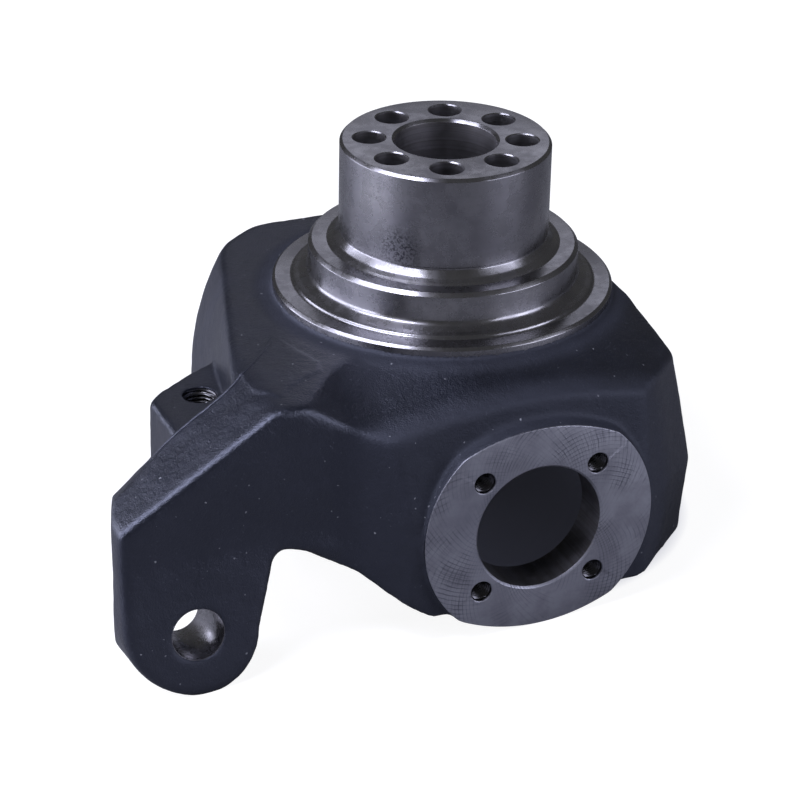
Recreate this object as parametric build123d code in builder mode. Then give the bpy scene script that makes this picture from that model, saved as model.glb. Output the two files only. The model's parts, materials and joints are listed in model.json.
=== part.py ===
from build123d import *
from math import cos, radians, sin, tan
import os

os.makedirs("parts", exist_ok=True)

# Steering knuckle of a driven steer axle, one forging with machined seats.
# Millimetres. Origin: where the kingpin axis (Y) crosses the spindle axis (Z).
# +Z points out along the spindle, -X is the side that carries the steering arm.

# Spindle and its shoulders, as heights above the kingpin axis
seat_d = 100.0            # bearing seat
seat_low = 101.2          # where the seat ends in its root fillet
spindle_top = 146.8
spindle_chamfer = 1.4
root_d = 109.0            # foot of the root fillet
collar_d = 129.0          # shoulder that backs the bearing
collar_top = 96.2
collar_chamfer = 1.8
collar_low = 82.3
ring_d = 144.0            # raised ring round the collar foot
ring_top = 78.4
flange_d = 163.0
flange_top = 76.8
deck = 71.0               # forged top of the body, just under the flange
deck_slope = 22.0         # fall of the deck toward the near ear, degrees

# Shaft bore and end face
mouth_d = 48.0
bore_d = 46.0
bush_d = 54.0
seal_d = 66.0
mouth_depth = 26.0
bush_depth = 30.0
seal_depth = 12.0
face_bolt_circle = 72.0
face_hole_d = 15.5
face_hole_depth = 30.0
face_hole_count = 8

# Kingpin ears
ear_face = 118.4          # machined ear face from the spindle axis
ear_skin = 1.5            # the machined face stands this far out of the forging
ear_inner = 98.0
ear_r = 57.2
ear_half = 51.5           # the ear circle is cut flat above and below
kingpin_d = 62.0
kingpin_chamfer = 1.0
cap_bolt_circle = 80.0
cap_drill_d = 10.2        # tapping drill of an M12 thread
cap_drill_depth = 24.0

# Forged body
body_low = -40.0
body_front = ear_face - ear_skin
corner_r = 9.0
rear_corner_r = 30.0      # the corner behind the arm is much rounder
low_draft = 4.0
arch_depth = 115.0        # the arch in the rim under the arm, from 140 in front
# left wall: height, and how far out it is 86 behind the kingpin axis and 58 in front
left_wall = (
    (body_low, -97, -115),
    (0, -101, -118),
    (32, -99, -124),
    (deck, -82, -128),
)
# other walls by the way they face (degrees from +X), reach from the spindle axis at the
# parting plane, and draft above it
walls = (
    (0, 97.5, 13.2),
    (-47, 125.1, 7.3),
    (-90, body_front, 7.0),
    (90, body_front, 12.6),
    (47.5, 125.3, 8.5),
    (127, 128.5, 9.5),
)
deck_edge_r = 4.0
root_wall = 130.2         # reach of the wall between the arm and the near ear
root_turn = 55.0          # degrees its outward side turns from -X toward -Y
root_r = 24.0             # hollow where it meets the front of the arm

# Yoke pocket on the inboard side
pocket_x = 76.0
pocket_roof = 38.0
pocket_taper = 38.0
pocket_corner = 36.0
fork_x = 40.0             # half width of the slot for the yoke's fork
fork_roof = 35.0
fork_corner = 8.0

# Steering arm
arm_front = -97.0
arm_back = -55.0
arm_edge_r = 4.0
arm_end = -194.8
arm_end_top = 22.5
arm_hidden = 84.0         # the arm runs on into the body this far from the spindle axis
root_x = -119.5           # where the slope of the arm reaches deck height
arm_lean = 8.0            # below lean_top the arm leans toward the near ear
lean_top = 5.0
lean_r = 14.0
hump_r = 22.0             # soft brow where the slope of the arm meets the deck
crest_x = -109.0          # the deck starts to fall here at the front of the arm
crest_slope = 38.0        # degrees
crest_r = 30.0
lean_plane = Plane(
    (0, arm_front, lean_top), x_dir=(1, 0, 0), z_dir=(0, -cos(radians(arm_lean)), sin(radians(arm_lean))),
)
eye_x = -160.0            # tie-rod eye
eye_z = -32.3
eye_d = 25.0
eye_taper = 5.0

# Steering stop boss behind the arm
stop_x = -127.5
stop_y = -12.0
stop_top = 40.5
stop_low = -8.0
stop_drill_d = 14.0       # tapping drill of an M16 thread
stop_drill_depth = 34.0

with BuildPart() as deck_cut:
    # the deck falls away conically toward the near ear and the right side
    start = radians(-149)
    cone_plane = Plane((0, 0, 0), x_dir=(cos(start), sin(start), 0), z_dir=(sin(start), -cos(start), 0))
    with BuildSketch(cone_plane):
        with BuildLine():
            fall = 70 * tan(radians(deck_slope))
            Polyline((86, deck), (156, deck - fall), (156, deck + 1), (86, deck + 1), close=True)
        make_face()
    revolve(axis=Axis.Z, revolution_arc=154)
    # but the root of the arm stays at deck height, with a slope down from its crest
    steep = sin(radians(crest_slope))
    crest = Plane((crest_x, arm_front, deck), z_dir=(0.766 * steep, -0.643 * steep, cos(radians(crest_slope))))
    split(bisect_by=crest, keep=Keep.TOP)
    fillet(edges().filter_by(GeomType.HYPERBOLA), crest_r)

with BuildPart() as body:
    # the left wall flares toward the arm, so its sections turn as they rise
    for height, at_rear, at_front in left_wall:
        flare = (at_rear - at_front) / 144
        with BuildSketch(Plane.XY.offset(height)):
            with BuildLine():
                Polyline(
                    (140, 150), (at_rear + 64 * flare, 150), (at_front - 92 * flare, -150), (140, -150),
                    close=True,
                )
            make_face()
    loft()
    # the other walls are flat, with draft both ways from the parting plane
    for facing, reach, draft in walls:
        out = Vector(cos(radians(facing)), sin(radians(facing)), 0)
        for angle in (draft, -low_draft):
            normal = out * cos(radians(angle)) + Vector(0, 0, sin(radians(angle)))
            split(bisect_by=Plane(out * reach, z_dir=normal), keep=Keep.BOTTOM)
    upright = edges().filter_by(lambda e: abs((e % 0.5).Z) > 0.75)
    at_rear = [e for e in upright if (e @ 0.5).X < -30 and (e @ 0.5).Y > 60]
    fillet([e for e in upright if (e @ 0.5).X > -80 and e not in at_rear], corner_r)
    upright = edges().filter_by(lambda e: abs((e % 0.5).Z) > 0.75 and e.length > 20)
    fillet([e for e in upright if (e @ 0.5).X < -30 and (e @ 0.5).Y > 60], rear_corner_r)
    # the front steps back to the arm, with a wide hollow between
    with BuildSketch(Plane.XY.offset(-60)):
        with BuildLine():
            c, s = cos(radians(root_turn)), sin(radians(root_turn))
            Polyline(
                (-220, arm_front), ((s * -arm_front - root_wall) / c, arm_front),
                ((s * 160 - root_wall) / c, -160), (-220, -160), close=True,
            )
        make_face()
        fillet(vertices().filter_by_position(Axis.X, -95, -80), root_r)
    extrude(amount=140, mode=Mode.SUBTRACT)
    # the rim rises under the arm so that the joint can swing
    with BuildSketch(Plane.XZ.offset(140)):
        with BuildLine():
            Polyline(
                (-37, -47), (-52, -39.5), (-66, -29.5), (-82, -17), (-92, -12), (-106, -3.2),
                (-119.9, 1), (-140, 1), (-140, -47), close=True,
            )
        make_face()
    extrude(amount=-arch_depth, mode=Mode.SUBTRACT)
    add(deck_cut.part, mode=Mode.SUBTRACT)
    # the slope of the arm runs on over the corner of the deck
    slope = Plane((root_x, 0, deck), z_dir=(arm_end_top - deck, 0, root_x - arm_end))
    split(bisect_by=slope, keep=Keep.BOTTOM)
    root = edges().filter_by(Axis.Y).filter_by_position(Axis.X, root_x - 1, root_x + 1)
    fillet(root.filter_by_position(Axis.Z, deck - 1, deck + 1), hump_r)
    # soft forged edge all round the deck, except where the flange sits
    rim = edges().filter_by(lambda e: (e @ 0.5).Z > 46 and abs((e % 0.5).Z) < 0.75)
    rim = [e for e in rim if not (e.geom_type == GeomType.CIRCLE and e.radius > 80)]
    fillet([e for e in rim if (e @ 0.5).X > 0 or abs((e % 0.5).Y) < 0.9999], deck_edge_r)

with BuildPart() as arm:
    # upper blade, upright, from the free end up to the root
    with BuildSketch(Plane.XZ.offset(-arm_front)):
        with BuildLine():
            Polyline(
                (arm_end, lean_top), (arm_end, arm_end_top), (root_x, deck), (root_x + 10, 58),
                (-arm_hidden, 45), (-arm_hidden, lean_top), close=True,
            )
        make_face()
        fillet(vertices().filter_by_position(Axis.X, arm_end, arm_end).sort_by(Axis.Y)[-1], 6)
        fillet(vertices().filter_by_position(Axis.Y, deck, deck), 8)
    extrude(amount=arm_front - arm_back)
    # lower blade with the tie-rod eye, leaning toward the near ear
    with BuildSketch(lean_plane):
        with BuildLine():
            Polyline(
                (-130.5, -41.4), (-120.5, -3.5), (-106, -8), (-arm_hidden, -17), (-arm_hidden, 8),
                (arm_end, 8), (arm_end, -29.3),
            )
            end = TangentArc((arm_end, -29.3), (-165, -67.7), tangent=(0, -1))
            TangentArc((-165, -67.7), (-130.5, -41.4), tangent=end % 1)
        make_face()
        fillet(vertices().filter_by_position(Axis.X, -121, -120), 7)
    extrude(amount=arm_front - arm_back)
    crease = edges().filter_by(Axis.X).filter_by(lambda e: (e @ 0.5).Y < arm_front + 0.1)
    fillet(crease.sort_by(lambda e: abs((e @ 0.5).Z - lean_top))[0], lean_r)
    front = edges().filter_by(lambda e: max((e @ 0).Y, (e @ 0.5).Y, (e @ 1).Y) < arm_front + 0.3
                              and (e @ 0.5).X < -arm_hidden - 1)
    fillet([e for e in front if abs((e % 0.5).X) < 0.99 or (e @ 0.5).Z < -10], arm_edge_r)
    # the back leans with the front, its top falls away toward the free end, and the free end
    # is drafted away behind the parting line
    split(bisect_by=Plane((0, arm_back, 55), z_dir=-lean_plane.z_dir), keep=Keep.BOTTOM)
    split(bisect_by=Plane((arm_end + 44, -56, 51), z_dir=(-72, 40, 85)), keep=Keep.BOTTOM)
    with BuildSketch(Plane.XY.offset(-70)):
        with BuildLine():
            Polyline(
                (arm_end - 0.1, -86), (arm_end - 20, -86), (arm_end - 20, -40), (arm_end + 15, -40),
                close=True,
            )
        make_face()
    extrude(amount=150, mode=Mode.SUBTRACT)

with BuildPart() as stop:
    with BuildSketch(Plane.XY.offset(stop_low)):
        with BuildLine():
            Polyline(
                (-90, -62), (-151.5, -62), (-151.5, -9), (-144, -1), (-124, 13), (-90, 30),
                close=True,
            )
        make_face()
        fillet(vertices().filter_by_position(Axis.X, -152, -120).filter_by_position(Axis.Y, -10, 14), 4)
    extrude(amount=stop_top - stop_low)
    brim = faces().sort_by(Axis.Z)[-1].edges()
    fillet(brim.filter_by(lambda e: (e @ 0.5).X < -95 and (e @ 0.5).Y > -61), 3)

with BuildPart() as ears:
    with BuildSketch(Plane.XZ.offset(ear_face)):
        Circle(ear_r)
        with Locations((0, -33.5)):
            Circle(ear_half + 33.5, mode=Mode.INTERSECT)
        with Locations((0, 33.5)):
            Circle(ear_half + 33.5, mode=Mode.INTERSECT)
    extrude(amount=-30, taper=-8)
    mirror(about=Plane.XZ)

with BuildPart() as knuckle:
    add(body.part)
    add(deck_cut.part, mode=Mode.SUBTRACT)
    add(arm.part)
    add(stop.part)
    add(ears.part)

    # spindle, collar and flange
    with BuildSketch(Plane.XZ):
        with BuildLine():
            Polyline(
                (0, deck - 20), (flange_d / 2, deck - 20), (flange_d / 2, flange_top - 1.5),
                (flange_d / 2 - 1.5, flange_top), (ring_d / 2 + 0.6, flange_top),
                (ring_d / 2, ring_top), (collar_d / 2 + 4.5, ring_top + 1.4),
            )
            TangentArc((collar_d / 2 + 4.5, ring_top + 1.4), (collar_d / 2, collar_low), tangent=(-1, 0.25))
            Polyline(
                (collar_d / 2, collar_low), (collar_d / 2, collar_top - collar_chamfer),
                (collar_d / 2 - collar_chamfer, collar_top), (root_d / 2 + 1.2, collar_top),
                (root_d / 2, collar_top + 0.8),
            )
            TangentArc((root_d / 2, collar_top + 0.8), (seat_d / 2, seat_low), tangent=(-1, 0.35))
            Polyline(
                (seat_d / 2, seat_low), (seat_d / 2, spindle_top - spindle_chamfer),
                (seat_d / 2 - spindle_chamfer, spindle_top), (0, spindle_top), (0, deck - 20),
            )
        make_face()
    revolve(axis=Axis.Z)

    # yoke pocket: straight walls past the kingpin axis, then a tapered bell
    with BuildSketch(Plane.XY.offset(-80)):
        RectangleRounded(2 * pocket_x, 2 * ear_inner, pocket_corner)
    extrude(amount=80, mode=Mode.SUBTRACT)
    with BuildSketch(Plane.XY):
        RectangleRounded(2 * pocket_x, 2 * ear_inner, pocket_corner)
    extrude(amount=pocket_roof, taper=pocket_taper, mode=Mode.SUBTRACT)

    # the yoke's fork swings between flat inner ear faces
    with BuildSketch(Plane.XY.offset(-80)):
        RectangleRounded(2 * fork_x, 2 * ear_inner, fork_corner)
    extrude(amount=80 + fork_roof, mode=Mode.SUBTRACT)

    # shaft bore with its bush and seal seats
    with BuildSketch(Plane.XZ):
        with BuildLine():
            Polyline(
                (0, spindle_top + 1), (mouth_d / 2 + 1.5, spindle_top + 1), (mouth_d / 2 + 1.5, spindle_top),
                (mouth_d / 2, spindle_top - 1.5), (mouth_d / 2, spindle_top - mouth_depth),
                (bore_d / 2, spindle_top - mouth_depth - 1),
                (bore_d / 2, pocket_roof + seal_depth + bush_depth),
                (bush_d / 2, pocket_roof + seal_depth + bush_depth), (bush_d / 2, pocket_roof + seal_depth),
                (seal_d / 2, pocket_roof + seal_depth), (seal_d / 2, pocket_roof - 2), (0, pocket_roof - 2),
                close=True,
            )
        make_face()
    revolve(axis=Axis.Z, mode=Mode.SUBTRACT)

    # eight plain blind holes in the end face
    with Locations(Plane.XY.offset(spindle_top)):
        with PolarLocations(face_bolt_circle / 2, face_hole_count, start_angle=22.5):
            Hole(face_hole_d / 2, depth=face_hole_depth)

    # kingpin bores and the cap screw holes round them, in both ears
    for ear_plane in (
        Plane((0, -ear_face, 0), x_dir=(1, 0, 0), z_dir=(0, -1, 0)),
        Plane((0, ear_face, 0), x_dir=(-1, 0, 0), z_dir=(0, 1, 0)),
    ):
        with Locations(ear_plane):
            Cone(
                kingpin_d / 2, kingpin_d / 2 + kingpin_chamfer, kingpin_chamfer,
                align=(Align.CENTER, Align.CENTER, Align.MAX), mode=Mode.SUBTRACT,
            )
            Hole(kingpin_d / 2, depth=ear_face - ear_inner + 2)
            with PolarLocations(cap_bolt_circle / 2, 4, start_angle=45):
                Hole(cap_drill_d / 2, depth=cap_drill_depth - 6)

    # tie-rod eye, tapered to seize the ball stud
    lean_rad = radians(arm_lean)
    eye_front = arm_front - (lean_top - eye_z) * tan(lean_rad)
    eye_plane = Plane(
        (eye_x, eye_front, eye_z), x_dir=(1, 0, 0), z_dir=(0, -cos(lean_rad), sin(lean_rad))
    )
    with BuildSketch(eye_plane.offset(1)):
        Circle(eye_d / 2)
    extrude(amount=-50, taper=eye_taper / 2, mode=Mode.SUBTRACT)

    # threaded hole of the stop screw
    with Locations((stop_x, stop_y, stop_top)):
        Hole(stop_drill_d / 2, depth=stop_drill_depth)

knuckle.part.label = "steering_knuckle"
export_step(knuckle.part, "parts/steering_knuckle.step")
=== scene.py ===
import json
import math

import bmesh
import bpy
from mathutils import Matrix, Vector
from mathutils.bvhtree import BVHTree


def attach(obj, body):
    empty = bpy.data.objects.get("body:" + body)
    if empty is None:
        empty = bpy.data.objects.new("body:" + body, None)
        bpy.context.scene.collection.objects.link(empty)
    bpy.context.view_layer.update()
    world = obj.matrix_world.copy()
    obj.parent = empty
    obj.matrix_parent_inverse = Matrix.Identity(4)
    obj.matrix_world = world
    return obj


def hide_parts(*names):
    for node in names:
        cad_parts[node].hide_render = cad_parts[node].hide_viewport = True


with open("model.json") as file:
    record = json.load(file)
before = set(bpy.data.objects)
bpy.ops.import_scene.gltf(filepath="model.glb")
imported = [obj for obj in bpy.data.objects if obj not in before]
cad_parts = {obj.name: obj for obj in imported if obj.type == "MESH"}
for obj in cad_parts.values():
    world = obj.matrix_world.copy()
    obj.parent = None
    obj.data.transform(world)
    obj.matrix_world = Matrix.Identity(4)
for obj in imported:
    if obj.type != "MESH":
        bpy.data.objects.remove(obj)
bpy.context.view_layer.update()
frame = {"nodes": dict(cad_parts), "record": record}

MM = 0.001
NODE = "steering_knuckle"
UP = (0, 0, 1)

# Sizes the frame gives, in millimetres
mounts = {m["name"]: m for m in frame["record"]["mounts"]}
seat_r = mounts["bearing_seat"]["dims"]["r_mm"]
bore_r = mounts["shaft_bore"]["dims"]["r_mm"]
kingpin_r = mounts["kingpin_bore_near"]["dims"]["r_mm"]
face_pcd = mounts["end_face_bolts"]["dims"]["pcd_mm"]
face_hole_r = mounts["end_face_bolts"]["dims"]["hole_r_mm"]
face_hole_count = mounts["end_face_bolts"]["dims"]["count"]
cap_pcd = mounts["cap_bolts_near"]["dims"]["pcd_mm"]
cap_drill_r = mounts["cap_bolts_near"]["dims"]["hole_r_mm"]
cap_count = mounts["cap_bolts_near"]["dims"]["count"]
stop_drill_r = mounts["stop_screw_hole"]["dims"]["r_mm"]
spindle_top = mounts["end_face_bolts"]["pos_m"][2] / MM
ear_face = -mounts["cap_bolts_near"]["pos_m"][1] / MM
collar_top = mounts["collar_face"]["pos_m"][2] / MM
eye_at = Vector(mounts["tie_rod_eye"]["pos_m"]) / MM
eye_axis = Vector(mounts["tie_rod_eye"]["axis"])
stop_at = Vector(mounts["stop_screw_hole"]["pos_m"]) / MM

# The rest of the spindle and ear sizes, in millimetres
seat_low = 101.2
seat_relief = 0.25
end_chamfer = 1.4
root_r = 54.5
root_rise = 2.2
collar_r = 64.5
collar_chamfer = 1.8
collar_foot = 3.0
ring_r = 72.0
ring_top = 78.4
flange_r = 81.5
flange_top = 76.8
flange_chamfer = 1.3
deck = 71.0
mouth_r = 24.0
mouth_depth = 26.0
bush_r = 27.0
bush_top = 80.0
seal_r = 33.0
seal_top = 50.0
lining_wall = 2.2
pocket_roof = 38.0
face_hole_depth = 30.0
face_hole_mouth = 0.5
ear_r = 57.2
ear_half = 51.5
ear_inner = 98.0
ear_disc = 2.6
ear_skim_r = 62.0
stop_top = 40.5
eye_r = 12.5
eye_thick = 34.4

# Ear outline: how far its two arcs are set past the middle, and the radius inside which it stays round
ear_arc_shift = 33.5
ear_core_r = 45.0

# Angles in degrees: the first hole of each ring, and half the taper of the tie-rod hole
face_hole_turn = 22.5
cap_hole_turn = 45
eye_half_taper = 2.5

# Cap screw threads, in millimetres; crest, root and sleeve are counted from the drill's radius
cap_pitch = 1.75
cap_crest = -0.75
cap_root = 0.08
cap_sleeve = 1.6
cap_thread_depth = 20

# Stop screw thread, in the same way
stop_pitch = 2.0
stop_root = 1.1
stop_sleeve = 2.2
stop_thread_depth = 32

# Thread form: plain depth at the mouth in millimetres, then run-in, root flat and both flanks in pitches
thread_lead = 0.9
THREAD_RUN_IN = 1.2
THREAD_FLAT = 0.12
THREAD_FLANK = 0.72

# Where the forged root is softest: centre and radius, in millimetres
BROW = (((-112, -92, 66), 26), ((-88, -97, 58), 26), ((-66, -102, 52), 26))
# How steeply the softness falls off inside that radius
BROW_FALL = 1.6
# The softness keeps this far off the flange, in millimetres, and grows over the next stretch
BROW_CLEAR = 3
BROW_GROWTH = 10
# Fine ridge that the dies left, in plan, from the arm's back edge over the deck
FLASH_LINE = (
    (-172, -62.5), (-160, -60.0), (-146, -58.4), (-132, -57.6), (-124, -54.8), (-114.9, -48.7),
    (-104.8, -37.3), (-99.5, -30.5), (-95.5, -24.5),
)
FLASH_R = 0.85
FLASH_PROUD = 0.55
FLASH_SIDES = 8
FLASH_STEP = 1.2
# Steps over which the flash line runs out at its first and at its last end
FLASH_ENDS = (12, 14)
# Faint raised patch in the angle of the flash line, in plan
PATCH = (
    (-95.5, -24.5), (-89.8, -44), (-85.8, -56.5), (-87.7, -66.6), (-96.7, -69.7), (-106.9, -76.5),
    (-114.6, -84.1), (-122.5, -70), (-122.5, -53.5), (-114.9, -48.7), (-104.8, -37.3),
)
PATCH_HEIGHT = 0.7
PATCH_EDGE = 1.6
# The patch lies below this x and y and above this z, in millimetres
PATCH_LIMITS = (-80, -20, 60)
# Low waves of the forged skin: name, size and height in millimetres
SKIN_WAVES = (("heave", 26, 0.6), ("dent", 8, 0.4))
# The milled ear disc takes the place of this much forging
SKIM = 0.7
# How far a machined insert reaches into the forging
HIDDEN = 1.5
# For the full and for the quick mesh: voxel size in millimetres, and rounds of relaxing
VOXEL = (1.25, 1.9)
SOFT_ROUNDS = (9, 5)
BROW_ROUNDS = (26, 12)
FORGING_TRIANGLES = 176000
SHARP_ANGLE = 32

# Passes of the face mill over the ears: hand, marks round, cutter and path radius in metres, patch scale
MILL_PASSES = (
    (1.0, 112, 0.050, 0.035, 33), (-1.0, 104, 0.050, 0.035, 37),
    (1.0, 76, 0.072, 0.050, 41), (-1.0, 84, 0.038, 0.030, 29),
)
# Pitted spot on the bearing seat, in metres: its middle, where it fades out and where it is full
PITTED_AT = (-0.0375, -0.0335, 0.110)
PITTED_FADE = (0.014, 0.005)
# Light specks in the paint: cells per metre, speck radius in cells, share left out, strength
PAINT_SPECKS = ((150, 0.075, 0.35, 0.5), (60, 0.040, 0.2, 0.85))
# The paint turns dull between these places, in metres: toward the flange, up to the deck, out to the ears
DULL_FLANGE = (0.093, 0.087)
DULL_DECK = (0.052, 0.058)
DULL_EARS = (0.096, 0.106)
DULL_ROUGHNESS = 0.35

# Floor: half its side, its height under the part and its fall toward the arm, in millimetres
FLOOR_HALF = 6000
FLOOR_HEIGHT = -51.6
FLOOR_FALL = (10.5, 165)
# The floor under the open pocket, painted darker and bluish as shade, in metres: its middle, and where that
# painted shade ends
POCKET_AT = (0.03, -0.02)
POCKET_SHADE = (0.06, 0.09)

LIGHT_TINT = (0.93, 0.945, 1.12)
# Lights: name, place and target in metres, width, height and power in watts
LIGHTS = (
    ("left_low", (-1.08, 0.34, 0.30), (0, 0, 0.03), 1.4, 0.6, 14),
    ("left_high", (-0.92, 0.06, 1.10), (-0.05, 0, 0.05), 0.75, 0.5, 9),
    ("ridge", (-0.73, -0.33, 1.26), (-0.09, -0.05, 0.05), 0.34, 0.30, 8),
    ("back", (0.50, 1.22, 0.80), (0, 0, 0.05), 0.9, 0.35, 0.75),
    ("right", (0.85, -0.90, 0.50), (0, 0, 0.03), 0.9, 0.8, 8),
)
AMBIENT = 0.10

# Camera: place and view direction in the frame, roll in degrees, lens and sensor in millimetres
CAMERA_AT = (-0.5314, -1.1957, 0.67935)
CAMERA_LOOK = (0.3496, 0.8183, -0.4563)
CAMERA_ROLL = 1.206
CAMERA_LENS = 135
CAMERA_SENSOR = 36


# Helpers


def clamped(value):
    """The value, held between 0 and 1."""
    return max(0.0, min(1.0, value))


def link(name, mesh):
    """Puts a mesh, light or camera in the scene as an object."""
    obj = bpy.data.objects.new(name, mesh)
    bpy.context.scene.collection.objects.link(obj)
    return obj


def mesh_object(name, verts, faces):
    """An object from millimetre points, with its faces turned outward."""
    mesh = bpy.data.meshes.new(name)
    mesh.from_pydata([Vector(v) * MM for v in verts], [], faces)
    bm = bmesh.new()
    bm.from_mesh(mesh)
    bmesh.ops.recalc_face_normals(bm, faces=bm.faces)
    bm.to_mesh(mesh)
    bm.free()
    return link(name, mesh)


def rounded(corners, steps=5):
    """A closed profile from (x, y, fillet radius) corners, each fillet as an arc."""
    points = []
    count = len(corners)
    for i, (x, y, radius) in enumerate(corners):
        here = Vector((x, y))
        to_prev = Vector(corners[i - 1][:2]) - here
        to_next = Vector(corners[(i + 1) % count][:2]) - here
        if radius <= 0:
            points.append((x, y))
            continue
        half = to_prev.angle(to_next) / 2
        reach = min(radius / math.tan(half), 0.48 * to_prev.length, 0.48 * to_next.length)
        r = reach * math.tan(half)
        start, end = here + to_prev.normalized() * reach, here + to_next.normalized() * reach
        centre = here + (to_prev.normalized() + to_next.normalized()).normalized() * (r / math.sin(half))
        a, b = start - centre, end - centre
        turn = a.angle_signed(b) if a.length > 1e-9 and b.length > 1e-9 else 0.0
        for k in range(steps + 1):
            angle = -turn * k / steps
            c, s = math.cos(angle), math.sin(angle)
            points.append((centre.x + a.x * c - a.y * s, centre.y + a.x * s + a.y * c))
    return points


def spun(name, loop, segments, stretch=None):
    """A closed (radius, height) loop turned about Z; stretch may change a radius by angle."""
    verts, faces = [], []
    n = len(loop)
    for s in range(segments):
        angle = 2 * math.pi * s / segments
        for r, h in loop:
            r = stretch(r, angle) if stretch else r
            verts.append((r * math.cos(angle), r * math.sin(angle), h))
    for s in range(segments):
        a, b = s * n, ((s + 1) % segments) * n
        for k in range(n):
            k2 = (k + 1) % n
            faces.append((a + k, b + k, b + k2, a + k2))
    return mesh_object(name, verts, faces)


def solid_spun(name, profile, segments):
    """A (radius, height) profile from axis to axis turned about Z into a closed solid."""
    verts = [(0, 0, profile[0][1]), (0, 0, profile[-1][1])]
    inner = profile[1:-1]
    n = len(inner)
    for s in range(segments):
        angle = 2 * math.pi * s / segments
        verts += [(r * math.cos(angle), r * math.sin(angle), h) for r, h in inner]
    faces = []
    for s in range(segments):
        a, b = 2 + s * n, 2 + ((s + 1) % segments) * n
        faces.append((0, b, a))
        faces.append((1, a + n - 1, b + n - 1))
        faces += [(a + k, b + k, b + k + 1, a + k + 1) for k in range(n - 1)]
    return mesh_object(name, verts, faces)


def place(obj, at, axis):
    """Moves a mesh made about +Z so that its origin is at a millimetre point, along axis."""
    turn = Vector(axis).to_track_quat("Z", "Y").to_matrix().to_4x4()
    obj.data.transform(Matrix.Translation(Vector(at) * MM) @ turn)
    obj.data.update()
    return obj


def join(name, parts):
    """One object from several."""
    bm = bmesh.new()
    for part in parts:
        bm.from_mesh(part.data)
        bpy.data.objects.remove(part)
    mesh = bpy.data.meshes.new(name)
    bm.to_mesh(mesh)
    bm.free()
    return link(name, mesh)


def apply_modifiers(obj):
    """Replaces an object's mesh by the one its modifiers make."""
    depsgraph = bpy.context.evaluated_depsgraph_get()
    made = bpy.data.meshes.new_from_object(obj.evaluated_get(depsgraph))
    obj.modifiers.clear()
    obj.data = made
    return obj


def cut(obj, cutter, solver="MANIFOLD"):
    """Takes the cutter out of obj and removes the cutter."""
    mod = obj.modifiers.new("cut", "BOOLEAN")
    mod.operation = "DIFFERENCE"
    mod.solver = solver
    mod.object = cutter
    apply_modifiers(obj)
    bpy.data.objects.remove(cutter)
    return obj


def smooth(obj):
    """Smooth shading, kept sharp where faces meet steeply."""
    obj.data.shade_smooth()
    obj.data.set_sharp_from_angle(angle=math.radians(SHARP_ANGLE))


def ring_places(count, pcd, start):
    """Centres on a circle, in the plane of the face, from a start angle in degrees."""
    angles = [math.radians(start + 360 * k / count) for k in range(count)]
    return [(pcd / 2 * math.cos(a), pcd / 2 * math.sin(a)) for a in angles]


def plug(name, radius, depth, mouth=0.0, segments=48, proud=2.0):
    """A round cutter about Z with its mouth at height 0, with an optional mouth chamfer."""
    profile = [(0, proud), (radius + mouth, proud)]
    if mouth:
        profile += [(radius + mouth, 0)]
    profile += [(radius, -mouth), (radius, -depth), (0, -depth)]
    return solid_spun(name, profile, segments)


def thread_sleeve(name, minor, major, outer, pitch, top, depth, segments=40, per_pitch=8):
    """A sleeve whose inner wall is a screw thread, from height -top down to -depth."""
    rows = int((depth - top) / pitch * per_pitch)
    verts, faces = [], []
    for row in range(rows + 1):
        z = -top - (depth - top) * row / rows
        lead_in = min(1.0, (-z - top) / (THREAD_RUN_IN * pitch))
        for s in range(segments):
            turn = s / segments
            phase = (-z / pitch + turn) % 1.0
            crest = clamped((1 - abs(2 * phase - 1) - THREAD_FLAT) / THREAD_FLANK)
            r = major - (major - minor) * crest * lead_in
            a = 2 * math.pi * turn
            verts.append((r * math.cos(a), r * math.sin(a), z))
    back = len(verts)
    for z in (-depth, -top):
        for s in range(segments):
            a = 2 * math.pi * s / segments
            verts.append((outer * math.cos(a), outer * math.sin(a), z))
    for s in range(segments):
        s2 = (s + 1) % segments
        for row in range(rows):
            a, b = row * segments, (row + 1) * segments
            faces.append((a + s, a + s2, b + s2, b + s))
        low, top_row = rows * segments, back + segments
        faces.append((low + s, low + s2, back + s2, back + s))
        faces.append((back + s, back + s2, top_row + s2, top_row + s))
        faces.append((top_row + s, top_row + s2, s2, s))
    return mesh_object(name, verts, faces)


# Pieces, each made about its own axis and then put in place


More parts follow.
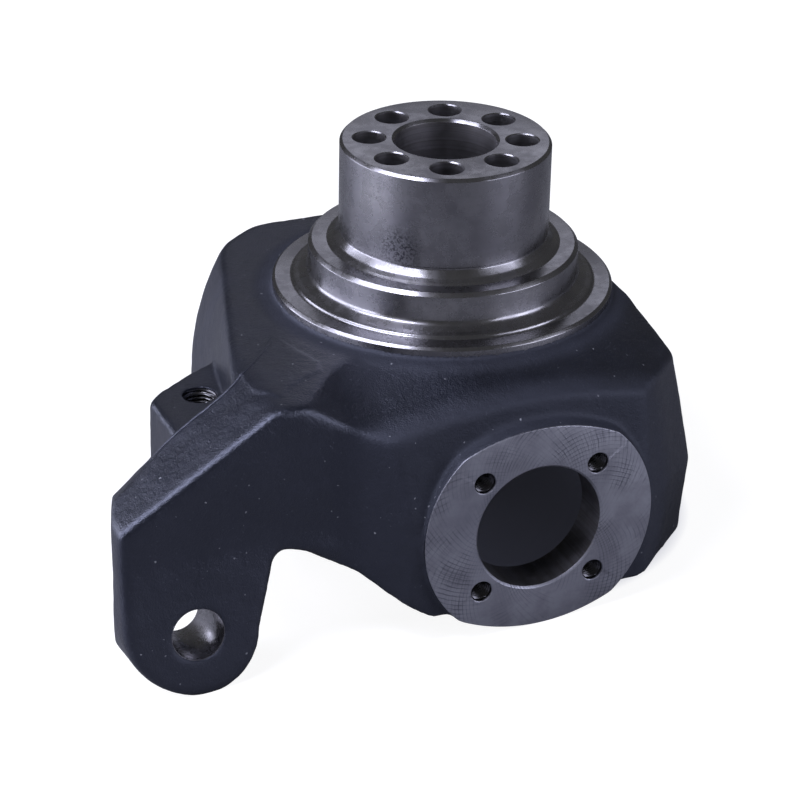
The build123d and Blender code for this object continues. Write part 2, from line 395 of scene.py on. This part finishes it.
def make_spindle():
    """Spindle, collar and flange, turned in one piece with the lining of the shaft bore."""
    mouth_low = spindle_top - mouth_depth
    relief_r = seat_r - seat_relief
    lining_r = seal_r + lining_wall
    lining_low = pocket_roof - 0.15
    foot = deck - 1.5
    loop = rounded([
        (seal_r, lining_low, 0.6), (seal_r, seal_top, 0.8),
        (bush_r, seal_top, 0.5), (bush_r, bush_top, 0.5),
        (bore_r, bush_top, 0.4), (bore_r, mouth_low - 1, 0.3),
        (mouth_r, mouth_low, 0.3), (mouth_r, spindle_top - end_chamfer, 0.3),
        (mouth_r + end_chamfer, spindle_top, 0.3), (seat_r - end_chamfer, spindle_top, 0.4),
        (seat_r, spindle_top - end_chamfer, 0.4), (seat_r, seat_low + 1.6, 0.2),
        (relief_r, seat_low + 1.3, 0.2), (relief_r, seat_low + 0.4, 1.0),
        (root_r - root_rise, collar_top + root_rise, 3.0), (root_r, collar_top + 0.9, 0.6),
        (root_r + 1.2, collar_top, 0.4), (collar_r - collar_chamfer, collar_top, 0.4),
        (collar_r, collar_top - collar_chamfer, 0.4), (collar_r, ring_top + collar_foot, collar_foot),
        (collar_r + 4.5, ring_top + 0.9, 2.0), (ring_r - 0.4, ring_top, 1.5),
        (ring_r + 0.5, flange_top + 0.2, 1.5), (flange_r - flange_chamfer, flange_top, 0.5),
        (flange_r, flange_top - flange_chamfer, 0.5), (flange_r, foot, 0),
        (lining_r, foot, 0), (lining_r, lining_low, 0.5),
    ], steps=4)
    spindle = spun("spindle", loop, 224)
    cutters = []
    for k, (x, y) in enumerate(ring_places(face_hole_count, face_pcd, face_hole_turn)):
        hole = plug(f"face_hole_{k}", face_hole_r, face_hole_depth, face_hole_mouth)
        cutters.append(place(hole, (x, y, spindle_top), UP))
    cut(spindle, join("cutters", cutters), "EXACT")
    return spindle


def ear_outline(angle):
    """Ear radius at an angle in the ear plane: a circle trimmed by a shallower arc above and below."""
    arc = ear_half + ear_arc_shift
    across = ear_arc_shift * math.cos(angle)
    flat = -ear_arc_shift * abs(math.sin(angle)) + math.sqrt(arc * arc - across ** 2)
    return min(ear_r, flat)


def make_ear(name, side):
    """Milled ear disc with its kingpin bore lining and tapped holes; side is -1 or 1 along Y."""
    rim_r = ear_r - 0.1
    lining_r = kingpin_r + HIDDEN
    lining_end = ear_inner + 0.2 - ear_face

    def stretch(r, angle):
        return r if r < ear_core_r else r - ear_r + ear_outline(angle)

    loop = rounded([
        (kingpin_r, lining_end, 0.3), (kingpin_r, -1.0, 0.2), (kingpin_r + 1.0, 0, 0.2),
        (rim_r, 0, 0.35), (rim_r, -ear_disc, 0), (lining_r, -ear_disc, 0), (lining_r, lining_end, 0.3),
    ], steps=3)
    disc = spun(name, loop, 192, stretch)
    threads, cutters = [], []
    for k, (x, y) in enumerate(ring_places(cap_count, cap_pcd, cap_hole_turn)):
        hole = plug(f"{name}_hole_{k}", cap_drill_r + 0.1, 6, 0.35, segments=40)
        cutters.append(hole)
        sleeve = thread_sleeve(
            f"{name}_thread_{k}", cap_drill_r + cap_crest, cap_drill_r + cap_root,
            cap_drill_r + cap_sleeve, cap_pitch, thread_lead, cap_thread_depth,
        )
        threads.append(sleeve)
        for obj in (hole, sleeve):
            obj.data.transform(Matrix.Translation((x * MM, y * MM, 0)))
    cut(disc, join("cutters", cutters), "EXACT")
    for obj in [disc] + threads:
        obj.data.transform(Matrix.Rotation(math.radians(90), 4, "X"))
        if side > 0:
            obj.data.transform(Matrix.Rotation(math.radians(180), 4, "Z"))
        obj.data.transform(Matrix.Translation((0, side * ear_face * MM, 0)))
    return disc, join(f"{name}_threads", threads)


def inside_depth(x, y, outline):
    """How far a point lies inside a closed outline, negative outside."""
    inside, nearest = False, 1e9
    at = Vector((x, y))
    for k, corner in enumerate(outline):
        a, b = Vector(outline[k - 1]), Vector(corner)
        along = clamped((at - a).dot(b - a) / (b - a).length_squared)
        nearest = min(nearest, (at - a - (b - a) * along).length)
        if (a.y > y) != (b.y > y) and x < a.x + (b.x - a.x) * (y - a.y) / (b.y - a.y):
            inside = not inside
    return nearest if inside else -nearest


def curve_points(route, step):
    """Points along a smooth curve through a plan route, about a step apart."""
    ends = [Vector(route[0]) * 2 - Vector(route[1])] + [Vector(c) for c in route]
    ends.append(Vector(route[-1]) * 2 - Vector(route[-2]))
    points = []
    for a, b, c, d in zip(ends, ends[1:], ends[2:], ends[3:]):
        count = max(2, round((c - b).length / step))
        for k in range(count):
            t = k / count
            square = (2 * a - 5 * b + 4 * c - d) * t ** 2
            cube = (3 * b - a - 3 * c + d) * t ** 3
            points.append(0.5 * ((2 * b) + (c - a) * t + square + cube))
    return points + [ends[-2]]


def make_flash_line(forging):
    """A thin bead laid on the forging along the flash line, running out at both ends."""
    bm = bmesh.new()
    bm.from_mesh(forging.data)
    tree = BVHTree.FromBMesh(bm)
    bm.free()
    spine = []
    for at in curve_points(FLASH_LINE, FLASH_STEP):
        above = Vector((at.x, at.y, 200)) * MM
        hit, normal, _, _ = tree.ray_cast(above, Vector((0, 0, -1)))
        if hit:
            spine.append((hit / MM, normal))
    verts, faces = [], []
    last = len(spine) - 1
    for k, (at, normal) in enumerate(spine):
        ahead = (spine[min(k + 1, last)][0] - spine[max(k - 1, 0)][0]).normalized()
        across = ahead.cross(normal).normalized()
        run_out = min(1.0, 0.1 + k / FLASH_ENDS[0], 0.1 + (last - k) / FLASH_ENDS[1])
        centre = at + normal * (FLASH_PROUD * run_out - FLASH_R)
        for s in range(FLASH_SIDES):
            a = 2 * math.pi * s / FLASH_SIDES
            verts.append(centre + (across * math.cos(a) + normal * math.sin(a)) * FLASH_R)
    for k in range(last):
        for s in range(FLASH_SIDES):
            s2 = (s + 1) % FLASH_SIDES
            here, after = k * FLASH_SIDES, (k + 1) * FLASH_SIDES
            faces.append((here + s, here + s2, after + s2, after + s))
    faces.append(tuple(range(FLASH_SIDES)))
    faces.append(tuple(range(last * FLASH_SIDES, (last + 1) * FLASH_SIDES)))
    return mesh_object("flash_line", verts, faces)


def add_skin_groups(forging):
    """Vertex groups of the free skin, of the softest stretch of the root and of the raised patch."""
    weights = {"soft": {}, "brow": {}, "patch": {}}
    for v in forging.data.vertices:
        x, y, z = v.co / MM
        # the skin keeps its place where a machined piece takes over
        milled = abs(y) > ear_face - 3.0 and math.hypot(x, z) < ear_r + 2
        turned = z > deck + 0.5 and math.hypot(x, y) < flange_r + 2
        soft = 0.0 if milled or turned else 1.0
        weights["soft"].setdefault(soft, []).append(v.index)
        off_flange = clamped((math.hypot(x, y) - flange_r - BROW_CLEAR) / BROW_GROWTH)
        reach = min((Vector((x, y, z)) - Vector(at)).length / radius for at, radius in BROW)
        brow = round(soft * off_flange * clamped(BROW_FALL - BROW_FALL * reach), 1)
        weights["brow"].setdefault(brow, []).append(v.index)
        if x < PATCH_LIMITS[0] and y < PATCH_LIMITS[1] and z > PATCH_LIMITS[2]:
            raised = round(clamped(0.5 + inside_depth(x, y, PATCH) / PATCH_EDGE), 1)
            weights["patch"].setdefault(raised, []).append(v.index)
    for name, by_weight in weights.items():
        group = forging.vertex_groups.new(name=name)
        for weight, indices in by_weight.items():
            group.add(indices, weight, "REPLACE")


def add_relaxing(obj, group, iterations):
    """A modifier that relaxes the vertices of one group."""
    relax = obj.modifiers.new(group, "SMOOTH")
    relax.factor = 0.5
    relax.iterations = iterations
    relax.vertex_group = group


def add_waves(obj, name, size, height):
    """A modifier that makes the free skin uneven, by a cloud pattern of a size and height."""
    texture = bpy.data.textures.new(name, "CLOUDS")
    texture.noise_scale = size * MM
    texture.noise_depth = 2
    wave = obj.modifiers.new(name, "DISPLACE")
    wave.texture = texture
    wave.texture_coords = "LOCAL"
    wave.strength = height * MM
    wave.mid_level = 0.5
    wave.vertex_group = "soft"


def add_raised_patch(obj):
    """A modifier that lifts the patch on the arm's root."""
    lift = obj.modifiers.new("patch", "DISPLACE")
    lift.direction = "Z"
    lift.strength = PATCH_HEIGHT * MM
    lift.mid_level = 0.0
    lift.vertex_group = "patch"


def apply_thinned(obj, target):
    """Applies all modifiers and then thins the mesh to about target triangles."""
    thin = obj.modifiers.new("thin", "DECIMATE")
    thin.show_viewport = False
    depsgraph = bpy.context.evaluated_depsgraph_get()
    full = obj.evaluated_get(depsgraph).to_mesh()
    triangles = sum(len(p.vertices) - 2 for p in full.polygons)
    obj.evaluated_get(depsgraph).to_mesh_clear()
    thin.ratio = min(1.0, target / triangles)
    thin.show_viewport = True
    apply_modifiers(obj)


def machining_cutters():
    """Cutters that make crisp room in the forging for every machined piece."""
    flange_seat = plug("flange_seat", flange_r + 0.05, spindle_top, segments=192, proud=0.0)
    lining_room = plug("lining_room", seal_r + lining_wall - 0.1, 40, segments=96, proud=0.0)
    cutters = [place(flange_seat, (0, 0, deck + spindle_top), UP), place(lining_room, (0, 0, deck + 1), UP)]
    for side in (-1, 1):
        at, outward = (0, side * ear_face, 0), (0, side, 0)
        skim = plug(f"ear_skim_{side}", ear_skim_r, SKIM, segments=96, proud=4.0)
        lining = plug(f"ear_lining_{side}", kingpin_r + HIDDEN - 0.1, 30, segments=96)
        cutters += [place(skim, at, outward), place(lining, at, outward)]
        for k, (x, y) in enumerate(ring_places(cap_count, cap_pcd, cap_hole_turn)):
            hole = plug(f"cap_hole_{side}_{k}", cap_drill_r + cap_sleeve - 0.1, 22, segments=32)
            cutters.append(place(hole, (x, side * ear_face, y), outward))
    stop_hole = plug("stop_hole", stop_drill_r + 1.15, 33, 0.5)
    cutters.append(place(stop_hole, (stop_at.x, stop_at.y, stop_top + 0.1), UP))
    cutters.append(place(plug("eye_hole", eye_r, 60, segments=96, proud=6), eye_at, eye_axis))
    return cutters


def make_forging():
    """The painted forging: the CAD solid with its skin remade soft, then cut for the machined pieces."""
    grade = 0
    forging = link("forging", frame["nodes"][NODE].data.copy())
    forging.data.materials.clear()
    remesh = forging.modifiers.new("remesh", "REMESH")
    remesh.mode = "VOXEL"
    remesh.voxel_size = VOXEL[grade] * MM
    remesh.use_smooth_shade = True
    apply_modifiers(forging)
    add_skin_groups(forging)
    add_relaxing(forging, "soft", SOFT_ROUNDS[grade])
    add_relaxing(forging, "brow", BROW_ROUNDS[grade])
    for name, size, height in SKIN_WAVES:
        add_waves(forging, name, size, height)
    add_raised_patch(forging)
    apply_thinned(forging, FORGING_TRIANGLES)
    for cutter in machining_cutters():
        cut(forging, cutter)
    return join("forging", [forging, make_flash_line(forging)])


def make_eye():
    """The tapered, bare wall of the tie-rod hole."""
    mouth = -1.0
    far_r = eye_r - eye_thick * math.tan(math.radians(eye_half_taper))
    back_r = eye_r + 1.4
    loop = rounded([
        (eye_r - 0.15, mouth, 0.1), (far_r, -eye_thick, 0.3), (back_r, -eye_thick, 0), (back_r, mouth, 0),
    ], steps=2)
    return place(spun("eye_bore", loop, 96), eye_at, eye_axis)


def make_stop_thread():
    """The threaded wall of the stop screw's hole."""
    sleeve = thread_sleeve(
        "stop_thread", stop_drill_r, stop_drill_r + stop_root, stop_drill_r + stop_sleeve,
        stop_pitch, thread_lead, stop_thread_depth, segments=56, per_pitch=10,
    )
    return place(sleeve, (stop_at.x, stop_at.y, stop_top), UP)


# Materials


class Nodes:
    """Short calls for building a material's node tree."""

    def __init__(self, name):
        self.mat = bpy.data.materials.new(name)
        self.mat.use_nodes = True
        self.tree = self.mat.node_tree
        self.tree.nodes.clear()
        self.out = self.add("ShaderNodeOutputMaterial")
        self.shader = self.add("ShaderNodeBsdfPrincipled")
        self.wire(self.shader.outputs[0], self.out.inputs["Surface"])
        self.place = self.add("ShaderNodeTexCoord").outputs["Object"]

    def add(self, kind, **values):
        """A new node, with its settings."""
        node = self.tree.nodes.new(kind)
        for key, value in values.items():
            setattr(node, key, value)
        return node

    def wire(self, source, socket):
        """Links an output to an input."""
        self.tree.links.new(source, socket)

    def put(self, socket, value):
        """Feeds an input from a socket or sets it to a constant."""
        if isinstance(value, bpy.types.NodeSocket):
            self.wire(value, socket)
        else:
            socket.default_value = value

    def math(self, operation, a, b=0.0):
        """The result of one sum on sockets or numbers."""
        node = self.add("ShaderNodeMath", operation=operation)
        self.put(node.inputs[0], a)
        self.put(node.inputs[1], b)
        return node.outputs[0]

    def length(self, a, b):
        """The length of the step (a, b)."""
        return self.math("SQRT", self.math("ADD", self.math("POWER", a, 2.0), self.math("POWER", b, 2.0)))

    def xyz(self):
        """The place of the shaded point, in metres."""
        split = self.add("ShaderNodeSeparateXYZ")
        self.wire(self.place, split.inputs[0])
        return split.outputs["X"], split.outputs["Y"], split.outputs["Z"]

    def noise(self, scale, detail=2.0, rough=0.5, stretch=None):
        """Cloud pattern from 0 to 1; stretch gives a scale for each axis."""
        node = self.add("ShaderNodeTexNoise")
        node.inputs["Scale"].default_value = scale
        node.inputs["Detail"].default_value = detail
        node.inputs["Roughness"].default_value = rough
        where = self.place
        if stretch:
            mapping = self.add("ShaderNodeMapping")
            mapping.inputs["Scale"].default_value = stretch
            self.wire(where, mapping.inputs["Vector"])
            where = mapping.outputs[0]
        self.wire(where, node.inputs["Vector"])
        return node.outputs["Fac"]

    def ramp(self, fac, stops):
        """A colour ramp from (position, colour) stops."""
        node = self.add("ShaderNodeValToRGB")
        ramp = node.color_ramp
        while len(ramp.elements) < len(stops):
            ramp.elements.new(0.5)
        for element, (position, colour) in zip(ramp.elements, stops):
            element.position = position
            element.color = (*colour, 1)
        self.wire(fac, node.inputs["Fac"])
        return node.outputs["Color"]

    def span(self, value, low, high, at_low, at_high):
        """Value carried from the range low to high over to at_low to at_high, and held there."""
        node = self.add("ShaderNodeMapRange")
        for socket, given in zip(node.inputs, (value, low, high, at_low, at_high)):
            self.put(socket, given)
        return node.outputs[0]

    def bump(self, height, distance, strength=1.0, after=None):
        """A normal disturbed by a height pattern."""
        node = self.add("ShaderNodeBump")
        node.inputs["Distance"].default_value = distance
        node.inputs["Strength"].default_value = strength
        self.wire(height, node.inputs["Height"])
        if after:
            self.wire(after, node.inputs["Normal"])
        return node.outputs[0]

    def mix(self, fac, a, b):
        """Colour a with a share of colour b."""
        node = self.add("ShaderNodeMix", data_type="RGBA")
        self.put(node.inputs["Factor"], fac)
        self.put(node.inputs[6], a)
        self.put(node.inputs[7], b)
        return node.outputs[2]

    def finish(self, colour, rough, normal):
        """Puts the three on the shader and gives the material."""
        self.put(self.shader.inputs["Base Color"], colour)
        self.put(self.shader.inputs["Roughness"], rough)
        self.put(self.shader.inputs["Normal"], normal)
        return self.mat


def speckled(n, colour, scale, size, left_out, strength):
    """The colour with light specks of ragged outline over it."""
    shaken = n.add("ShaderNodeVectorMath", operation="MULTIPLY_ADD")
    ragged = n.add("ShaderNodeTexNoise")
    ragged.inputs["Scale"].default_value = 900
    n.wire(n.place, ragged.inputs["Vector"])
    n.wire(ragged.outputs["Color"], shaken.inputs[0])
    shaken.inputs[1].default_value = (0.0014, 0.0014, 0.0014)
    n.wire(n.place, shaken.inputs[2])
    cells = n.add("ShaderNodeTexVoronoi")
    cells.inputs["Scale"].default_value = scale
    n.wire(shaken.outputs[0], cells.inputs["Vector"])
    split = n.add("ShaderNodeSeparateColor")
    n.wire(cells.outputs["Color"], split.inputs[0])
    chosen = n.math("GREATER_THAN", split.outputs[0], left_out)
    speck = n.span(cells.outputs["Distance"], size * 0.6, size, strength, 0.0)
    return n.mix(n.math("MULTIPLY", speck, chosen), colour, (0.34, 0.35, 0.39, 1))


def dulled(n, rough):
    """The roughness raised round the foot of the flange and round the ears."""
    x, y, z = n.xyz()
    by_flange = n.span(n.length(x, y), *DULL_FLANGE, 0.0, DULL_ROUGHNESS)
    on_deck = n.span(z, *DULL_DECK, 0.0, 1.0)
    by_ears = n.span(n.math("ABSOLUTE", y), *DULL_EARS, 0.0, DULL_ROUGHNESS)
    return n.math("ADD", n.math("ADD", rough, n.math("MULTIPLY", by_flange, on_deck)), by_ears)


def paint_material():
    """Thin black paint over forged skin: orange peel, dull patches, dust and small chips."""
    n = Nodes("forging_paint")
    patches = n.noise(30, 5, 0.62)
    rub = n.noise(95, 4, 0.7)
    colour = n.ramp(patches, [(0.32, (0.004, 0.0047, 0.0085)), (0.68, (0.0075, 0.0085, 0.0145))])
    dust = n.span(n.noise(620, 2, 0.5), 0.66, 0.74, 0.0, 1.0)
    dust = n.math("MULTIPLY", dust, n.span(rub, 0.48, 0.62, 0.0, 0.35))
    colour = n.mix(dust, colour, (0.12, 0.13, 0.16, 1))
    for specks in PAINT_SPECKS:
        colour = speckled(n, colour, *specks)
    rough = n.math("ADD", n.span(patches, 0.3, 0.7, 0.23, 0.32), n.math("MULTIPLY", rub, 0.1))
    peel = n.bump(n.noise(380, 4, 0.6), 0.0003)
    normal = n.bump(n.noise(1300, 3, 0.65), 0.00022, 1.0, peel)
    n.shader.inputs["Specular IOR Level"].default_value = 0.85
    n.shader.inputs["Specular Tint"].default_value = (0.74, 0.79, 1.0, 1)
    return n.finish(colour, dulled(n, rough), normal)


class Steel(Nodes):
    """Bare machined steel, dulled by oil and handling, to which each kind adds its marks."""

    def __init__(self, name):
        super().__init__(name)
        self.stain = self.noise(21, 5, 0.6)
        self.blotch = self.noise(75, 4, 0.6)
        self.fine = self.noise(150, 4, 0.65)
        colour = self.ramp(self.stain, [
            (0.3, (0.20, 0.20, 0.218)), (0.5, (0.285, 0.282, 0.303)), (0.7, (0.36, 0.355, 0.37)),
        ])
        colour = self.mix(self.span(self.blotch, 0.40, 0.64, 0.0, 0.45), colour, (0.18, 0.175, 0.20, 1))
        specks = self.span(self.noise(700, 2, 0.5), 0.70, 0.74, 0.0, 0.55)
        where = self.span(self.noise(40, 3, 0.6), 0.56, 0.64, 0.0, 1.0)
        self.colour = self.mix(self.math("MULTIPLY", specks, where), colour, (0.05, 0.05, 0.05, 1))
        even = self.span(self.fine, 0.3, 0.7, 0.21, 0.30)
        self.rough = self.math("ADD", even, self.span(self.blotch, 0.4, 0.65, 0.0, 0.04))
        self.shader.inputs["Metallic"].default_value = 1.0


def turned_steel():
    """Steel with lathe grooves round Z, and a rubbed, pitted spot low on the bearing seat."""
    n = Steel("turned_steel")
    lines = n.noise(1.0, 2, 0.6, stretch=(5, 5, 2600))
    rings = n.noise(1.0, 2, 0.5, stretch=(2, 2, 380))
    normal = n.bump(n.math("ADD", n.math("MULTIPLY", lines, 0.5), rings), 0.00004, 0.6)
    # the grooves run round the axis, so reflections smear along it
    n.shader.inputs["Anisotropic"].default_value = 0.6
    n.shader.inputs["Anisotropic Rotation"].default_value = 0.25
    colour = n.mix(n.span(rings, 0.35, 0.65, 0.0, 0.2), n.colour, (0.2, 0.2, 0.21, 1))
    away = n.add("ShaderNodeVectorMath", operation="DISTANCE")
    n.wire(n.place, away.inputs[0])
    away.inputs[1].default_value = PITTED_AT
    near = n.span(away.outputs["Value"], *PITTED_FADE, 0.0, 1.0)
    pits = n.span(n.noise(900, 2, 0.6), 0.50, 0.57, 0.0, 0.75)
    colour = n.mix(n.math("MULTIPLY", pits, near), colour, (0.03, 0.03, 0.035, 1))
    return n.finish(colour, n.rough, normal)


def mill_marks(n):
    """Crossed arcs of a face mill that travelled round the kingpin bore, as broken dark lines."""
    x, _, z = n.xyz()
    square = n.math("ADD", n.math("POWER", x, 2.0), n.math("POWER", z, 2.0))
    radius = n.math("SQRT", square)
    angle = n.math("ARCTAN2", z, x)
    total = 0.0
    for hand, count, cutter, path, patch in MILL_PASSES:
        cosine = n.math(
            "DIVIDE", n.math("ADD", square, path ** 2 - cutter ** 2), n.math("MULTIPLY", radius, 2 * path),
        )
        turn = n.math("ARCCOSINE", n.math("MINIMUM", n.math("MAXIMUM", cosine, -1.0), 1.0))
        phase = n.math("MULTIPLY", n.math("ADD", angle, n.math("MULTIPLY", turn, hand)), count)
        wobble = n.math("MULTIPLY", n.noise(34, 4, 0.62), 9.0)
        line = n.span(n.math("SINE", n.math("ADD", phase, wobble)), 0.5, 1.0, 0.0, 1.0)
        fade = n.span(n.noise(patch, 3, 0.55), 0.46, 0.64, 0.0, 1.0)
        total = n.math("ADD", n.math("MULTIPLY", line, fade), total)
    wear = n.span(n.noise(60, 4, 0.65), 0.40, 0.60, 0.2, 1.0)
    return n.math("MULTIPLY", total, wear)


def milled_steel():
    """Dull, mottled steel with the marks of the face mill."""
    n = Steel("milled_steel")
    marks = mill_marks(n)
    colour = n.ramp(n.stain, [(0.3, (0.28, 0.285, 0.335)), (0.7, (0.42, 0.425, 0.48))])
    colour = n.mix(n.span(n.blotch, 0.42, 0.60, 0.0, 0.5), colour, (0.22, 0.22, 0.26, 1))
    colour = n.mix(n.span(marks, 0.0, 1.0, 0.0, 0.62), colour, (0.07, 0.075, 0.10, 1))
    return n.finish(colour, n.span(n.fine, 0.3, 0.7, 0.42, 0.52), n.bump(marks, 0.00006))


def thread_steel():
    """Dark, oily steel of the threads."""
    n = Steel("thread_steel")
    return n.finish(n.mix(0.75, n.colour, (0.03, 0.03, 0.035, 1)), n.rough, n.bump(n.fine, 0.00005, 0.5))


def bored_steel():
    """Steel of the bores, with a boring tool's lines."""
    n = Steel("bored_steel")
    lines = n.noise(1.0, 2, 0.6, stretch=(5, 5, 900))
    colour = n.mix(n.span(lines, 0.4, 0.6, 0.0, 0.5), n.colour, (0.14, 0.125, 0.12, 1))
    return n.finish(colour, n.span(n.fine, 0.3, 0.7, 0.38, 0.5), n.bump(lines, 0.0001, 0.7))


def cut_steel():
    """Plain cut steel of the tie-rod hole."""
    n = Steel("cut_steel")
    return n.finish(n.colour, n.rough, n.bump(n.fine, 0.00006, 0.6))


def floor_material():
    """Pale floor that keeps shadows and stays white to the camera where it is open, with painted shade
    under the pocket.
    """
    n = Nodes("floor")
    n.shader.inputs["Roughness"].default_value = 0.7
    n.shader.inputs["Specular IOR Level"].default_value = 0.2
    # the floor under the pocket is painted a darker, bluish colour with almost no glow to the camera:
    # painted shade where the part keeps light off it
    x, y, _ = n.xyz()
    from_pocket = n.length(n.math("SUBTRACT", x, POCKET_AT[0]), n.math("SUBTRACT", y, POCKET_AT[1]))
    beyond_painted_shade = n.span(from_pocket, *POCKET_SHADE, 0.0, 1.0)
    pale = n.ramp(n.noise(4, 2, 0.5), [(0.3, (0.24, 0.243, 0.252)), (0.7, (0.264, 0.264, 0.273))])
    n.put(n.shader.inputs["Base Color"], n.mix(beyond_painted_shade, (0.21, 0.22, 0.29, 1), pale))
    glow = n.add("ShaderNodeEmission")
    seen = n.add("ShaderNodeLightPath").outputs["Is Camera Ray"]
    # the glow turns bluish and almost off under the pocket, as painted shade
    n.wire(n.mix(beyond_painted_shade, (0.66, 0.68, 0.92, 1), (1.0, 1.0, 1.0, 1)), glow.inputs["Color"])
    n.wire(n.math("MULTIPLY", seen, n.span(beyond_painted_shade, 0.0, 1.0, 0.014, 0.9)), glow.inputs["Strength"])
    both = n.add("ShaderNodeAddShader")
    n.wire(n.shader.outputs[0], both.inputs[0])
    n.wire(glow.outputs[0], both.inputs[1])
    n.wire(both.outputs[0], n.out.inputs["Surface"])
    return n.mat


def also(obj, material, test):
    """Gives the faces that pass the test a second material; the test gets centre and normal."""
    obj.data.materials.append(material)
    for face in obj.data.polygons:
        if test(face.center / MM, face.normal):
            face.material_index = 1


def in_spindle_hole(at, normal):
    """True for the walls of the shaft bore and of the holes round it."""
    return math.hypot(at.x, at.y) < seat_r - 3 and abs(normal.z) < 0.5


def in_kingpin_bore(at, normal):
    """True for the wall of a kingpin bore."""
    return math.hypot(at.x, at.z) < kingpin_r + 0.5 and abs(normal.y) < 0.5


# Floor, light and camera


def make_floor():
    """The floor, tilted as it lies under the part."""
    h = FLOOR_HALF
    floor = mesh_object("floor", [(-h, -h, 0), (h, -h, 0), (h, h, 0), (-h, h, 0)], [(0, 1, 2, 3)])
    tilt = Matrix.Rotation(-math.atan2(*FLOOR_FALL), 4, "Y")
    floor.data.transform(Matrix.Translation((0, 0, FLOOR_HEIGHT * MM)) @ tilt)
    floor.data.materials.append(floor_material())
    return floor


def make_world():
    """White surroundings to the camera, and a dim even light for the part."""
    world = bpy.data.worlds.new("studio")
    world.use_nodes = True
    tree = world.node_tree
    background = tree.nodes["Background"]
    path = tree.nodes.new("ShaderNodeLightPath")
    level = tree.nodes.new("ShaderNodeMapRange")
    level.inputs["To Min"].default_value = AMBIENT
    level.inputs["To Max"].default_value = 1.0
    tree.links.new(path.outputs["Is Camera Ray"], level.inputs["Value"])
    tree.links.new(level.outputs[0], background.inputs["Strength"])
    background.inputs["Color"].default_value = (1, 1, 1, 1)
    bpy.context.scene.world = world


def make_softbox(name, at, target, width, height, power):
    """A rectangular studio light aimed at a target."""
    light = bpy.data.lights.new(name, "AREA")
    light.shape = "RECTANGLE"
    light.size = width
    light.size_y = height
    light.energy = power
    light.color = LIGHT_TINT
    obj = link(name, light)
    obj.location = at
    obj.rotation_mode = "QUATERNION"
    obj.rotation_quaternion = (Vector(target) - Vector(at)).to_track_quat("-Z", "Y")


def make_camera():
    """The camera of the photo, as worked out from its circles."""
    data = bpy.data.cameras.new("camera")
    data.lens = CAMERA_LENS
    data.sensor_width = CAMERA_SENSOR
    data.clip_start = 0.05
    data.clip_end = 50
    look = Vector(CAMERA_LOOK).to_track_quat("-Z", "Y").to_matrix().to_4x4()
    roll = Matrix.Rotation(math.radians(CAMERA_ROLL), 4, "Z")
    camera = link("camera", data)
    camera.matrix_world = Matrix.Translation(CAMERA_AT) @ look @ roll
    return camera


# The scene
spindle = make_spindle()
ear_near, threads_near = make_ear("ear_near", -1)
ear_far, threads_far = make_ear("ear_far", 1)
eye = make_eye()
stop_thread = make_stop_thread()
forging = make_forging()

paint = paint_material()
turned = turned_steel()
milled = milled_steel()
threaded = thread_steel()
bored = bored_steel()
plain = cut_steel()
for obj, material in (
    (forging, paint), (spindle, turned), (ear_near, milled), (ear_far, milled),
    (threads_near, threaded), (threads_far, threaded), (eye, plain), (stop_thread, threaded),
):
    obj.data.materials.clear()
    obj.data.materials.append(material)
    smooth(obj)
    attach(obj, "root")
also(spindle, bored, in_spindle_hole)
also(ear_near, bored, in_kingpin_bore)
also(ear_far, bored, in_kingpin_bore)
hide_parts(NODE)

make_floor()
make_world()
for light in LIGHTS:
    make_softbox(*light)
bpy.context.scene.camera = make_camera()
bpy.context.scene.view_settings.view_transform = "Standard"
